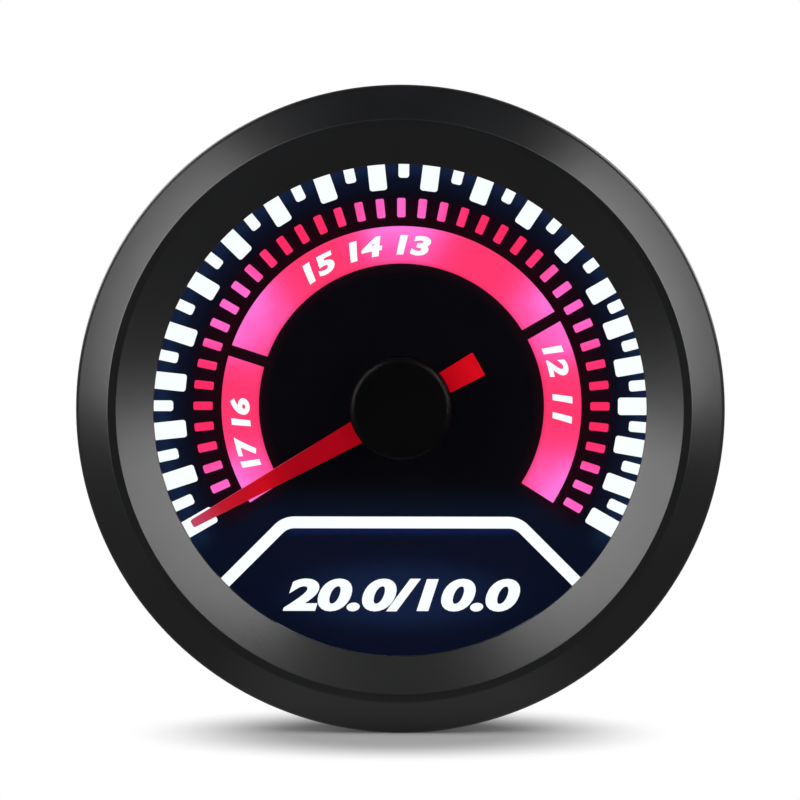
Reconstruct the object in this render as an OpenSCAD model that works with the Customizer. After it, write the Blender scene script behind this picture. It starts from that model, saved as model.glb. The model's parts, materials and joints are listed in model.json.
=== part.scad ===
// Panel gauge for the air to fuel ratio of an engine, with a stepper movement and a lit dial.
// Every piece is drawn with the gauge's axis along z and its face towards +z, and face_frame()
// then turns it so that the face looks along -Y with twelve o'clock at +Z.
// The origin is on the gauge's axis, in the plane where the bezel meets the panel.
// Angles on the dial count clockwise from six o'clock, as the driver sees it.

/* [Case] */
// Outer radius of the barrel that goes through the panel
barrel_r = 26; // [25:0.5:30]
// Wall of the barrel
case_wall = 1.5; // [1.2:0.1:2]
// Radial width of the flange that stops the barrel at the panel
flange_w = 2.4; // [2:0.1:3.5]
// Thickness of the flange
flange_t = 1.6; // [1.3:0.1:2.2]
// Radius of the three posts inside the case
post_r = 2.4; // [2.1:0.1:2.6]
// Depth of the screw holes in the posts
pilot_depth = 7; // [6:0.5:8]

/* [Bezel] */
// Radial thickness of the bezel's skirt round the flange
skirt_t = 1.5; // [1.2:0.1:3]
// Height of the bezel's straight side
side_h = 3; // [2.2:0.1:3.4]
// Radius of the rounded edge between the side and the slope
edge_round = 1; // [0.4:0.1:1.2]
// Radial width of the outward slope
slope_w = 3.1; // [2.8:0.1:3.8]
// Radial width of the ridge's flat top
ridge_flat_w = 0.75; // [0.4:0.05:1]
// Radius of the ridge's rounded edges
ridge_round = 0.25; // [0.1:0.05:0.4]
// Height of the ridge above the foot of the inner cone
cone_h = 1.8; // [1.5:0.05:2.4]
// Thickness of the lip that holds the lens
lip_t = 0.6; // [0.5:0.05:0.9]
// How far the lip reaches in over the case wall
lip_reach = 1.75; // [1.5:0.05:2.2]

/* [Lens] */
// Thickness of the smoked lens
lens_t = 1.8; // [1.5:0.1:2.2]
// How far the lens laps over the case wall
lens_lap = 0.7; // [0.5:0.05:0.9]
// How deep the lens sits below the front of the flange
lens_sink = 0.1; // [0.05:0.05:0.2]
// Thickness of the gasket behind the lens
gasket_t = 0.7; // [0.5:0.05:0.9]

/* [Dial] */
// Distance from the back of the lens to the dial
dial_depth = 4.5; // [4:0.1:5.5]
// Thickness of the dial
dial_t = 0.5; // [0.4:0.05:0.8]
// Wall of the shroud that stands on the dial
shroud_t = 0.8; // [0.6:0.05:1]
// Radius of the hole that the pointer shaft comes through
shaft_hole_r = 1.6; // [1.4:0.05:2]
// Dial angle of the scale's first mark
first_mark_angle = 60; // [57:1:62]
// Dial angle of the scale's last mark
last_mark_angle = 300; // [298:1:303]
// Dial angle where the lean zone ends
lean_end_angle = 108; // [95:1:120]
// Dial angle where the rich zone starts
rich_start_angle = 240; // [225:1:255]

/* [Dial marks] */
// Width of a long white block
long_block_w = 1.63; // [1.2:0.01:2]
// Visible length of a long white block
long_block_len = 2.55; // [2:0.05:3]
// Width of a short white block
short_block_w = 1; // [0.6:0.01:1.3]
// Visible length of a short white block
short_block_len = 1.45; // [1:0.05:2]
// Corner radius of the white blocks
block_round = 0.25; // [0.1:0.05:0.4]
// How far the blocks run on behind the bezel
block_run_on = 0.8; // [0.5:0.05:1]
// Radial gap between the white blocks and the red bars
bar_gap = 0.78; // [0.7:0.02:1]
// Length of a red bar
bar_len = 1.8; // [1.5:0.05:2.1]
// Width of a red bar
bar_w = 0.78; // [0.6:0.02:1]
// Corner radius of the red bars
bar_round = 0.15; // [0.1:0.05:0.3]
// Number of red bars
bar_count = 41; // [31:2:49]
// Radial gap between the red bars and the bands
band_gap = 0.82; // [0.6:0.01:1]
// Radial width of the bands
band_w = 3.49; // [2.8:0.01:4]
// Width of the breaks between the bands
band_break_w = 1.03; // [0.6:0.01:1.5]
// How far the bands run past the first and last mark, as an angle
band_run_on_angle = 2.6; // [1:0.1:4]
// Distance of the panel line's level stretch below the axis
panel_drop = 10.9; // [10:0.1:12]
// Half the width of the panel line's level stretch
panel_half_w = 10.85; // [9:0.05:12]
// Thickness of the panel line
panel_line_w = 1.1; // [0.8:0.05:1.4]
// Outer radius of the panel line's bends
panel_round = 2.6; // [1.6:0.1:3]

/* [Lighting] */
// Thickness of the diffuser behind the dial
diffuser_t = 1; // [0.8:0.1:1.5]
// Depth of the light box
light_box_h = 5.5; // [5:0.1:7]
// Wall of the light box
light_wall_t = 0.6; // [0.5:0.05:0.8]
// Floor of the light box, which lies on the board round the lamps
light_floor_t = 0.8; // [0.5:0.1:1]
// Rim of the light box
light_rim_t = 1; // [0.8:0.05:1.2]
// Number of white lamps round the scale
white_lamp_count = 12; // [8:2:16]
// Number of white lamps under the panel
panel_lamp_count = 4; // [2:1:5]
// Number of red lamps behind the bands
red_lamp_count = 5; // [3:2:7]
// Length, width and height of a white lamp
white_lamp = [2, 1.25, 0.8]; // [0.6:0.05:2.2]
// Length, width and height of a red lamp
red_lamp = [3.5, 2.8, 1.2]; // [1:0.1:3.6]

/* [Boards] */
// Thickness of both circuit boards
board_t = 1.6; // [1.2:0.1:1.8]
// Distance between the facing sides of the two boards
board_spacing = 12.4; // [12.2:0.1:14]
// Gap between the power board and the posts beside it
power_post_gap = 0.8; // [0.5:0.1:1.5]
// Gap between the power board's upper corners and the case wall
power_case_gap = 0.8; // [0.5:0.1:1.2]
// Depth of the power board below the axis
power_drop = 12; // [8:0.5:14]
// Corner radius of the power board
power_round = 1.5; // [0.5:0.5:3]
// Distance of the pin header from the inner discs' edge
header_inset = 11.1; // [11:0.1:11.2]
// Number of pins in the header
header_count = 5; // [3:1:6]
// Pitch of the header's and the connector's pins
pin_pitch = 2.54; // [2:0.01:2.54]
// Radius of the header's and the connector's pins
pin_r = 0.32; // [0.25:0.01:0.4]
// Number of pins in the connector
connector_count = 4; // [2:1:4]
// Length, width and height of the driver chip
driver_size = [5, 6, 1.4]; // [1:0.1:6]
// Length, width and height of the voltage regulator
regulator_size = [6.5, 6.1, 2.2]; // [2:0.1:7]
// Radius of a capacitor
capacitor_r = 2.5; // [2:0.1:3]
// Height of a capacitor
capacitor_h = 3.9; // [3:0.1:4]
// Length, width and height of a chip resistor
resistor_size = [2, 1.25, 0.5]; // [0.4:0.05:2.2]

/* [Pointer] */
// Radius of the hub cap
hub_r = 4.8; // [4:0.1:5.5]
// Height of the hub cap
hub_h = 3; // [2.6:0.1:3.2]
// Radius of the hub cap's front edge
hub_round = 0.7; // [0.3:0.05:0.9]
// Wall of the hub cap
hub_wall = 0.8; // [0.6:0.05:1]
// Gap between the hub cap and the lens
hub_lens_gap = 0.7; // [0.5:0.05:0.9]
// Thickness of the blade
blade_t = 0.7; // [0.5:0.05:0.9]
// Width of the blade where it leaves the hub
blade_root_w = 2.2; // [1.6:0.05:2.6]
// Width of the blade at its tip
blade_tip_w = 0.75; // [0.4:0.05:1]
// Gap between the blade's tip and the edge of the aperture
tip_gap = 0.45; // [0.3:0.05:1]
// Length of the tail from the axis
tail_len = 8.3; // [6.5:0.1:9]
// Width of the tail where it leaves the hub
tail_root_w = 2.1; // [1.6:0.05:2.4]
// Width of the tail at its end
tail_end_w = 2.4; // [1.8:0.05:2.8]
// How far up the scale from its first mark the pointer rests on its stop, as an angle
rest_offset_angle = 0.7; // [0:0.1:2]
// Radius of the pointer shaft
shaft_r = 0.75; // [0.6:0.05:0.9]

/* [Movement] */
// Gap between the motor's lower corners and the case wall. The stock sizes below are
// raised or lowered together until this gap is left
motor_case_gap = 0.37; // [0.3:0.01:0.6]
// Depth of the motor behind the board
motor_h = 9.4; // [9.2:0.1:10]
// Wall of the motor's covers
motor_wall = 1; // [0.9:0.05:1.2]
// Half the width of the motor's lower part
stock_motor_half_w = 13.2; // [12.9:0.1:13.4]
// Depth of the motor below the pointer shaft
stock_motor_drop = 20.2; // [20:0.05:20.3]
// Depth of the rotor's axis below the pointer shaft
stock_rotor_drop = 13; // [12.9:0.05:13.1]
// Tooth module of the output wheel and the pinion that drives it
stock_output_module = 0.3; // [0.29:0.005:0.3]
// Teeth of the output wheel
output_teeth = 60; // [58:1:60]
// Teeth of the pinion that drives the output wheel
output_pinion_teeth = 10; // [10:1:11]
// Tooth module of the intermediate wheel and the rotor's pinion
stock_rotor_module = 0.25; // [0.24:0.005:0.25]
// Teeth of the intermediate wheel
intermediate_teeth = 48; // [46:1:48]
// Teeth of the rotor's pinion
rotor_pinion_teeth = 8; // [8:1:9]
// Radius of the rotor magnet
magnet_r = 2.6; // [2.2:0.1:2.8]
// Length of the rotor magnet
magnet_h = 3.4; // [2.6:0.1:3.6]
// Air gap between the magnet and the stator
air_gap = 0.4; // [0.3:0.05:0.6]
// Thickness of the stator cores
core_t = 1; // [0.8:0.1:1.4]
// Width of the stator cores' arms
core_w = 1.6; // [1.3:0.1:1.8]
// Distance of the coils' axes from the middle of the motor
stock_coil_x = 9.5; // [9.3:0.1:9.7]
// Radius of the coil windings
winding_r = 1.9; // [1.6:0.05:2]

/* [Rear] */
// Room between the power board and the rear cover
rear_room = 4.4; // [4.2:0.1:6]
// Thickness of the rear cover
rear_cover_t = 2; // [1.6:0.1:3]
// Radial width of the ledge that the rear seal lies on
ledge_w = 0.9; // [0.7:0.05:1.2]
// Thickness of the rear seal
seal_t = 0.4; // [0.3:0.05:0.6]
// Radius of the mounting studs
stud_r = 2; // [1.5:0.25:2.5]
// Radius of the studs' necks, which fill the holes in the rear cover
stud_neck_r = 2.4; // [2.1:0.1:2.8]
// Distance between the mounting studs' axes
stud_spacing = 30; // [28:0.5:32]
// Length of the mounting studs behind the rear cover
stud_len = 18; // [12:1:30]
// Radius of the mounting studs' heads
stud_head_r = 3.4; // [3:0.1:4]
// Thickness of the mounting studs' heads
stud_head_t = 1.8; // [1.2:0.1:2.4]
// Inner width of the connector's socket
socket_w = 10.4; // [10:0.1:12]
// Inner height of the connector's socket
socket_h = 7; // [6:0.1:8]
// Wall of the connector's socket
socket_wall = 1; // [0.8:0.1:1.4]
// How far the connector stands out behind the rear cover
socket_len = 10; // [9.5:0.5:14]
// Depth of the connector's socket
socket_depth = 9; // [8:0.5:9]
// Free length of the pins in the socket
socket_pin_len = 3.6; // [3:0.1:4]

/* [Screws] */
// Radius of the screws' shanks
screw_r = 1; // [0.8:0.1:1.2]
// Radius of the screws' heads
screw_head_r = 1.9; // [1.6:0.1:2.1]
// Height of the screws' heads
screw_head_h = 1.2; // [0.9:0.1:1.4]
// Length of the screws' shanks
screw_len = 6; // [5:0.5:6.5]

/* [Fits] */
// Gap between fixed pieces that slot into each other
fit_gap = 0.1; // [0.05:0.05:0.15]
// Gap between the inner discs and the case wall
seat_gap = 0.2; // [0.1:0.05:0.3]
// Radial gap of a shank or pin in the hole that holds it
hole_gap = 0.02; // [0.01:0.01:0.05]
// Radial gap of a turning shaft in its bearing
running_gap = 0.03; // [0.02:0.01:0.08]
// Gap between a turning piece and the fixed pieces beside it
turning_gap = 0.3; // [0.25:0.05:0.35]

/* [Hidden] */

// Segments of large and of small circles, and steps of a tooth flank
large_fn = 144;
small_fn = 48;
flank_steps = 3;
// Steps of a rounded corner: few up to fine_corner, where they don't show
fine_corner = 0.4;
fine_steps = 3;
corner_steps = 8;
// How far a cut runs past the face that it opens
over = 0.5;

// Radii of the case, the lens and the bezel
inner_r = barrel_r - case_wall;
disc_r = inner_r - seat_gap;
flange_r = barrel_r + flange_w;
bezel_r = flange_r + fit_gap + skirt_t;
ridge_r = bezel_r - slope_w;
lens_r = inner_r + lens_lap;
lens_pocket_r = lens_r + fit_gap;
aperture_r = inner_r - lip_reach;

// Depths along the axis, from the front of the bezel to the ends of the studs
lens_back = flange_t - lens_sink;
lens_front = lens_back + lens_t;
cone_foot = lens_front + lip_t;
ridge_z = cone_foot + cone_h;
gasket_back = lens_back - gasket_t;
dial_front = lens_back - dial_depth;
dial_back = dial_front - dial_t;
diffuser_back = dial_back - diffuser_t;
board_front = diffuser_back - light_box_h;
board_back = board_front - board_t;
motor_back = board_back - motor_h;
power_front = board_back - board_spacing;
power_back = power_front - board_t;
cover_front = power_back - rear_room;
cover_back = cover_front - rear_cover_t;
stud_end = cover_back - stud_len;
socket_end = cover_back - socket_len;

// Posts inside the case: their angles and their distance from the axis
post_angles = [90, 210, 330];
post_place_r = inner_r + fit_gap - post_r;
pilot_r = screw_r + hole_gap;
screw_hole_r = screw_r + fit_gap;
screw_pocket_r = screw_head_r + seat_gap;

// Marks on the dial, from the aperture inwards
block_end_r = aperture_r + block_run_on;
bar_outer_r = aperture_r - long_block_len - bar_gap;
bar_inner_r = bar_outer_r - bar_len;
band_outer_r = bar_inner_r - band_gap;
band_inner_r = band_outer_r - band_w;
lean_steps = 4;
optimal_steps = 10;
rich_steps = 6;
long_angles = concat(
    spread(first_mark_angle, lean_end_angle, lean_steps),
    spread(lean_end_angle, rich_start_angle, optimal_steps),
    spread(rich_start_angle, last_mark_angle, rich_steps),
    [last_mark_angle]
);
short_angles = [
    for (i = [1 : len(long_angles) - 1]) (long_angles[i - 1] + long_angles[i]) / 2
];

// Walls of the light box, which keep the white, red and panel lamps apart
zone_wall_r = bar_outer_r + (bar_gap - light_wall_t) / 2;
hub_wall_r = band_inner_r - light_wall_t;
hub_wall_drop = panel_drop - panel_line_w - light_wall_t;
zone_angle = 52;
white_lamp_r = (zone_wall_r + disc_r) / 2;
red_lamp_r = (hub_wall_r + zone_wall_r) / 2;
first_white_angle = 70;
panel_lamp_drop = panel_drop + 2 * white_lamp.x;
panel_lamp_pitch = 3 * white_lamp.x;
lamp_window_share = 0.38;

// Pointer
hub_front = lens_back - hub_lens_gap;
hub_back = hub_front - hub_h;
blade_back = hub_back + hub_wall;
blade_front = blade_back + blade_t;
blade_tip_r = aperture_r - tip_gap;
blade_disc_r = hub_r - hub_wall - fit_gap;
blade_boss_r = 2 * shaft_r;
shaft_front = hub_front - hub_wall;
tip_round = blade_tip_w / 4;
tail_round = fit_gap;
rest_angle = first_mark_angle + rest_offset_angle;

// Movement, made to suit the case
stock_corner_r = norm([stock_motor_half_w, stock_motor_drop]);
movement_share = (inner_r - motor_case_gap) / stock_corner_r;
motor_half_w = stock_motor_half_w * movement_share;
motor_drop = stock_motor_drop * movement_share;
rotor_drop = stock_rotor_drop * movement_share;
output_module = stock_output_module * movement_share;
rotor_module = stock_rotor_module * movement_share;
coil_x = stock_coil_x * movement_share;

// Gears: involute teeth, a little thinned so that they never bind
pressure_angle = 25;
addendum_share = 0.7;
dedendum_share = 1;
backlash_share = 0.1;
output_centres = output_module * (output_teeth + output_pinion_teeth) / 2;
rotor_centres = rotor_module * (intermediate_teeth + rotor_pinion_teeth) / 2;
// Angle at the pointer shaft between the rotor and the intermediate gear
drive_angle = acos(
    (output_centres ^ 2 + rotor_drop ^ 2 - rotor_centres ^ 2) / (2 * output_centres * rotor_drop)
);
intermediate_at = output_centres * [sin(drive_angle), -cos(drive_angle)];
rotor_at = [0, -rotor_drop];
to_intermediate = atan2(intermediate_at.y, intermediate_at.x);
to_rotor = atan2(rotor_at.y - intermediate_at.y, rotor_at.x - intermediate_at.x);

// Depths inside the motor: three layers of wheels, then the magnet
motor_inner_front = board_back - motor_wall;
motor_inner_back = motor_back + motor_wall;
output_wheel_t = 1;
intermediate_wheel_t = 0.8;
output_front = motor_inner_front - turning_gap;
output_back = output_front - output_wheel_t;
intermediate_front = output_back - turning_gap;
intermediate_back = intermediate_front - intermediate_wheel_t;
rotor_pinion_front = intermediate_front + fit_gap;
rotor_pinion_back = intermediate_back - fit_gap;
magnet_back = motor_inner_back + 2 * turning_gap;
magnet_front = magnet_back + magnet_h;
core_front = (magnet_front + magnet_back + core_t) / 2;
core_back = core_front - core_t;
pivot_r = 0.4;
pivot_len = 0.7;
pivot_depth = pivot_len + fit_gap;
spindle_r = 0.7;
wheel_hub_r = 2.4;
output_boss_r = output_module * output_teeth / 2 + motor_wall + 2 * turning_gap;
motor_shoulder = 2;
motor_round = 1.2;
bush_r = 1.6;
bush_len = 4.2;
bush_front = motor_inner_front + bush_len;
bush_hole_r = bush_r + seat_gap;

// Stator: the arms of each core meet the magnet from the side and from below
stator_bore_r = magnet_r + air_gap;
upper_arm_y = -rotor_drop + core_w / 4;
lower_arm_y = -motor_drop + motor_wall + core_w / 4;
pole_x = core_w / 2;
coil_low = lower_arm_y + core_w + fit_gap;
coil_high = upper_arm_y - fit_gap;
bobbin_flange_t = 0.6;
bobbin_r = winding_r + fit_gap;
bobbin_wall = 0.35;
terminal_drop = 2.2;
terminal_y = lower_arm_y + (terminal_drop - core_w / 2) / 2;
motor_pin_r = 0.3;
motor_pin_gap = 1.5;

// Circuit pieces on the boards
power_half_w = post_place_r * cos(post_angles[2]) - post_r - power_post_gap;
power_top = sqrt((inner_r - power_case_gap) ^ 2 - power_half_w ^ 2);
header_y = disc_r - header_inset;
header_strip_w = pin_pitch;
header_strip_h = pin_pitch;
driver_inset = 5.3;
driver_at = [driver_inset - disc_r, 4];
driver_leads = 4;
lead_w = 0.4;
lead_len = 1;
lead_t = 0.25;
lead_pitch = 1.27;
resistor_count = 4;
resistor_gap = 0.55;
resistor_inset = 6.3;
resistor_pitch = resistor_size.y + resistor_gap;
resistor_at = [disc_r - resistor_inset, 1.5];
regulator_at = [-9, 3];
regulator_tab = [4.4, 1.2, 0.6];
regulator_lead_pitch = 2.3;
capacitor_header_gap = 2;
capacitor_at = [9.5, header_y - capacitor_header_gap];
capacitor_base_t = 0.5;

// Rear pieces
ledge_front = cover_front + seal_t;
ledge_back_r = inner_r - ledge_w;
cover_r = inner_r - fit_gap;
socket_flange_w = 1;
socket_flange_t = 1.2;
socket_outer_w = socket_w + 2 * socket_wall;
socket_outer_h = socket_h + 2 * socket_wall;
socket_round = 0.8;
latch_w = 4;
latch_len = 3;
latch_h = 0.9;
recess_w = 0.5;
recess_share = 0.6;

// Angles spread evenly from one angle towards the next, which starts its own run
function spread(from, to, steps) = [
    for (i = [0 : steps - 1]) from + (to - from) * i / steps
];

// The vector a, one unit long
function unit(a) = a / norm(a);

// Points that round corner b = [x, y, radius] of an outline, between the corners a and c
function rounded_corner(a, b, c) =
    let (
        here = [b.x, b.y],
        to_a = unit([a.x, a.y] - here),
        to_c = unit([c.x, c.y] - here),
        half = acos(to_a * to_c) / 2,
        centre = here + unit(to_a + to_c) * b.z / sin(half),
        start = here + to_a * b.z / tan(half) - centre,
        first = atan2(start.y, start.x),
        sweep = (180 - 2 * half) * (cross(to_a, to_c) > 0 ? -1 : 1),
        steps = b.z > fine_corner ? corner_steps : fine_steps
    )
    b.z == 0
        ? [here]
        : [for (i = [0 : steps])
            let (angle = first + sweep * i / steps)
            centre + b.z * [cos(angle), sin(angle)]];

// Outline through corners [x, y, radius], each rounded by its radius
function rounded_outline(corners) =
    let (n = len(corners))
    [for (i = [0 : n - 1])
        each rounded_corner(corners[(i + n - 1) % n], corners[i], corners[(i + 1) % n])];

// Involute function, in degrees
function involute(angle) = tan(angle) * 180 / PI - angle;

// Half the angle of a tooth at radius r, for a tooth with base radius base_r
function tooth_half(r, base_r, pitch_half) =
    pitch_half + involute(pressure_angle) - involute(r > base_r ? acos(base_r / r) : 0);

// Outline of a gear with one tooth centred on the x axis
function gear_outline(teeth, module_size) =
    let (
        pitch_r = module_size * teeth / 2,
        base_r = pitch_r * cos(pressure_angle),
        tip_r = pitch_r + addendum_share * module_size,
        root_r = pitch_r - dedendum_share * module_size,
        flank_r = max(base_r, root_r),
        pitch_half = 90 * (1 - backlash_share) / teeth,
        radii = concat(
            root_r < base_r ? [root_r] : [],
            [for (i = [0 : flank_steps]) flank_r + (tip_r - flank_r) * i / flank_steps]
        ),
        n = len(radii)
    )
    [for (tooth = [0 : teeth - 1], side = [-1, 1], i = [0 : n - 1])
        let (
            r = side < 0 ? radii[i] : radii[n - 1 - i],
            angle = tooth * 360 / teeth + side * tooth_half(r, base_r, pitch_half)
        )
        r * [cos(angle), sin(angle)]];

// Turns a piece drawn along z so that its front faces -Y
module face_frame() {
    rotate([90, 0, 0])
        children();
}

// Solid disc between two depths
module disc(r, front, back) {
    translate([0, 0, back])
        cylinder(r = r, h = front - back, $fn = r > inner_r / 2 ? large_fn : small_fn);
}

// Ring between two depths
module ring(r, bore_r, front, back) {
    difference() {
        disc(r, front, back);
        disc(bore_r, front + over, back - over);
    }
}

// A flat shape made into a plate between two depths
module plate(front, back) {
    translate([0, 0, back])
        linear_extrude(height = front - back)
            children();
}

// Box of a given size, centred on the axis, between two depths
module block(size_x, size_y, front, back) {
    plate(front, back)
        square([size_x, size_y], center = true);
}

// Rounded rectangle from two opposite corners
module rounded_box_shape(low, high, round_r) {
    polygon(rounded_outline([
        [low.x, low.y, round_r],
        [high.x, low.y, round_r],
        [high.x, high.y, round_r],
        [low.x, high.y, round_r]
    ]));
}

// Copies at a dial angle and a distance from the axis
module at_dial(angle, r) {
    rotate(-angle)
        translate([0, -r])
            children();
}

// Copies at each of the three posts
module at_posts() {
    for (angle = post_angles)
        rotate(angle)
            translate([post_place_r, 0, 0])
                children();
}

// Screw with a cross recess, its head's seat at z = 0 and its head towards +z
module pan_screw() {
    difference() {
        union() {
            disc(screw_r, 0, -screw_len);
            disc(screw_head_r, screw_head_h, 0);
        }
        for (turn = [0, 90])
            rotate(turn)
                block(
                    2 * screw_head_r * recess_share,
                    recess_w,
                    screw_head_h + over,
                    screw_head_h * (1 - recess_share)
                );
    }
}

// Row of upright pins along x
module pin_row(count, front, back) {
    for (i = [0 : count - 1])
        translate([(i - (count - 1) / 2) * pin_pitch, 0, 0])
            disc(pin_r, front, back);
}

// Shapes of the dial's marks, which the dial is cut by and the lit windows fill
module block_shape(angle, w, length) {
    inner = -aperture_r + length;
    at_dial(angle, 0)
        rounded_box_shape([-w / 2, -block_end_r], [w / 2, inner], block_round);
}

module scale_block_shapes() {
    for (angle = long_angles)
        block_shape(angle, long_block_w, long_block_len);
    for (angle = short_angles)
        block_shape(angle, short_block_w, short_block_len);
}

module scale_bar_shapes() {
    step = (last_mark_angle - first_mark_angle) / (bar_count - 1);
    for (i = [0 : bar_count - 1])
        at_dial(first_mark_angle + i * step, 0)
            rounded_box_shape([-bar_w / 2, -bar_outer_r], [bar_w / 2, -bar_inner_r], bar_round);
}

// Everything below the two rays at a dial angle to either side of six o'clock
module lower_sector(angle) {
    reach = 2 * flange_r;
    polygon([
        [0, 0],
        reach * [-sin(angle), -cos(angle)],
        [0, -reach],
        reach * [sin(angle), -cos(angle)]
    ]);
}

module band_shapes() {
    difference() {
        circle(r = band_outer_r, $fn = large_fn);
        circle(r = band_inner_r, $fn = large_fn);
        lower_sector(first_mark_angle - band_run_on_angle);
        for (angle = [lean_end_angle, rich_start_angle])
            at_dial(angle, (band_outer_r + band_inner_r) / 2)
                square([band_break_w, 2 * band_w], center = true);
    }
}

module panel_line_shape() {
    reach = block_end_r;
    leg_angle = 45;
    mitre = panel_line_w * tan(leg_angle / 2) / 2;
    outer_half = panel_half_w + mitre;
    inner_half = panel_half_w - mitre;
    top = -panel_drop + panel_line_w / 2;
    foot = -panel_drop - panel_line_w / 2;
    intersection() {
        circle(r = block_end_r, $fn = large_fn);
        polygon(rounded_outline([
            [-outer_half, top, panel_round],
            [-outer_half - reach, top - reach * tan(leg_angle), 0],
            [-inner_half - reach, foot - reach * tan(leg_angle), 0],
            [-inner_half, foot, panel_round - panel_line_w],
            [inner_half, foot, panel_round - panel_line_w],
            [inner_half + reach, foot - reach * tan(leg_angle), 0],
            [outer_half + reach, top - reach * tan(leg_angle), 0],
            [outer_half, top, panel_round]
        ]));
    }
}

// Outline of the motor, drawn in by a given inset
module motor_shape(inset) {
    circle(r = output_boss_r - inset, $fn = large_fn);
    rounded_box_shape(
        [-motor_half_w + inset, -motor_drop + inset],
        [motor_half_w - inset, -motor_shoulder - inset],
        max(motor_round - inset, 0)
    );
}

// Right-hand core: a leg through the coil, an upper arm and a lower arm with its pole
module core_shape() {
    leg_end = coil_x + core_w / 2;
    difference() {
        union() {
            translate([leg_end - core_w, lower_arm_y])
                square([core_w, upper_arm_y + core_w - lower_arm_y]);
            translate([stator_bore_r / 2, upper_arm_y])
                square([leg_end - stator_bore_r / 2, core_w]);
            translate([pole_x, lower_arm_y])
                square([leg_end - pole_x, core_w]);
            translate([pole_x, lower_arm_y])
                square([core_w, -rotor_drop - lower_arm_y]);
        }
        translate(rotor_at)
            circle(r = stator_bore_r, $fn = small_fn);
    }
}

module bezel_ring() {
    color("#17181b")
        face_frame()
            rotate_extrude($fn = large_fn)
                polygon(rounded_outline([
                    [flange_r + fit_gap, 0, 0],
                    [bezel_r, 0, fit_gap],
                    [bezel_r, side_h, edge_round],
                    [ridge_r, ridge_z, ridge_round],
                    [ridge_r - ridge_flat_w, ridge_z, ridge_round],
                    [aperture_r, cone_foot, fit_gap],
                    [aperture_r, lens_front, 0],
                    [lens_pocket_r, lens_front, 0],
                    [lens_pocket_r, flange_t, 0],
                    [flange_r + fit_gap, flange_t, 0]
                ]));
}

module lens() {
    color("#2a2d33", 0.45)
        face_frame()
            disc(lens_r, lens_front, lens_back);
}

module lens_gasket() {
    color("#101010")
        face_frame()
            ring(lens_r, inner_r + fit_gap, lens_back, gasket_back);
}

module dial_shroud() {
    color("#0c0c0e")
        face_frame()
            ring(disc_r, disc_r - shroud_t, lens_back, dial_front);
}

module dial_plate() {
    color("#07070b")
        face_frame()
            plate(dial_front, dial_back)
                difference() {
                    circle(r = disc_r, $fn = large_fn);
                    circle(r = shaft_hole_r, $fn = small_fn);
                    scale_block_shapes();
                    scale_bar_shapes();
                    band_shapes();
                    panel_line_shape();
                }
}

module scale_blocks() {
    color("#f9fffe")
        face_frame()
            plate(dial_front, dial_back)
                scale_block_shapes();
}

module scale_bars() {
    color("#e8306c")
        face_frame()
            plate(dial_front, dial_back)
                scale_bar_shapes();
}

module mixture_bands() {
    color("#fe3779")
        face_frame()
            plate(dial_front, dial_back)
                band_shapes();
}

module panel_line() {
    color("#f9fffe")
        face_frame()
            plate(dial_front, dial_back)
                panel_line_shape();
}

module diffuser_disc() {
    color("#e9ecef")
        face_frame()
            ring(disc_r, shaft_hole_r, dial_back, diffuser_back);
}

// Walls round the hub, cut off level above the panel
module hub_wall_shape(inset) {
    r = hub_wall_r + light_wall_t - inset;
    intersection() {
        circle(r = r, $fn = large_fn);
        translate([-r, -hub_wall_drop + inset])
            square([2 * r, r + hub_wall_drop]);
    }
}

// Walls of the light box: the rim, the wall between the blocks and the bars, the wall round
// the hub and the two walls beside the panel
module light_wall_shapes() {
    difference() {
        circle(r = disc_r, $fn = large_fn);
        circle(r = disc_r - light_rim_t, $fn = large_fn);
    }
    difference() {
        circle(r = zone_wall_r + light_wall_t, $fn = large_fn);
        circle(r = zone_wall_r, $fn = large_fn);
        lower_sector(zone_angle);
    }
    difference() {
        hub_wall_shape(0);
        hub_wall_shape(light_wall_t);
    }
    for (side = [-1, 1])
        at_dial(side * zone_angle, 0)
            translate([-light_wall_t / 2, -disc_r + light_rim_t / 2])
                square([light_wall_t, disc_r - light_rim_t / 2 - hub_wall_r]);
}

// Window in the light box's floor for a lamp
module lamp_window(size) {
    square([size.x + 2 * fit_gap, size.y + 2 * fit_gap], center = true);
}

// Notches that clear the board screws, open towards the case wall
module screw_notch_shapes() {
    at_posts() {
        circle(r = screw_pocket_r, $fn = small_fn);
        translate([0, -screw_pocket_r])
            square([2 * screw_pocket_r, 2 * screw_pocket_r]);
    }
}

module light_box() {
    color("#f4f4f2")
        face_frame() {
            plate(diffuser_back, board_front + light_floor_t)
                difference() {
                    light_wall_shapes();
                    screw_notch_shapes();
                }
            plate(board_front + light_floor_t, board_front)
                difference() {
                    circle(r = disc_r, $fn = large_fn);
                    circle(r = bush_hole_r, $fn = small_fn);
                    screw_notch_shapes();
                    white_lamp_places()
                        lamp_window(white_lamp);
                    red_lamp_places()
                        lamp_window(red_lamp);
                }
        }
}

module circuit_board() {
    color("#1d4d2b")
        face_frame()
            plate(board_front, board_back)
                difference() {
                    circle(r = disc_r, $fn = large_fn);
                    circle(r = bush_hole_r, $fn = small_fn);
                    at_posts()
                        circle(r = screw_hole_r, $fn = small_fn);
                    motor_pin_places()
                        circle(r = motor_pin_r + hole_gap, $fn = small_fn);
                    translate([0, header_y])
                        for (i = [0 : header_count - 1])
                            translate([(i - (header_count - 1) / 2) * pin_pitch, 0])
                                circle(r = pin_r + hole_gap, $fn = small_fn);
                }
}

// Lamp on the board: a body with a round window in its front
module lamp(size) {
    base_h = size.z * (1 - lamp_window_share / 2);
    block(size.x, size.y, board_front + base_h, board_front);
    disc(size.y * lamp_window_share, board_front + size.z, board_front);
}

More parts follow.
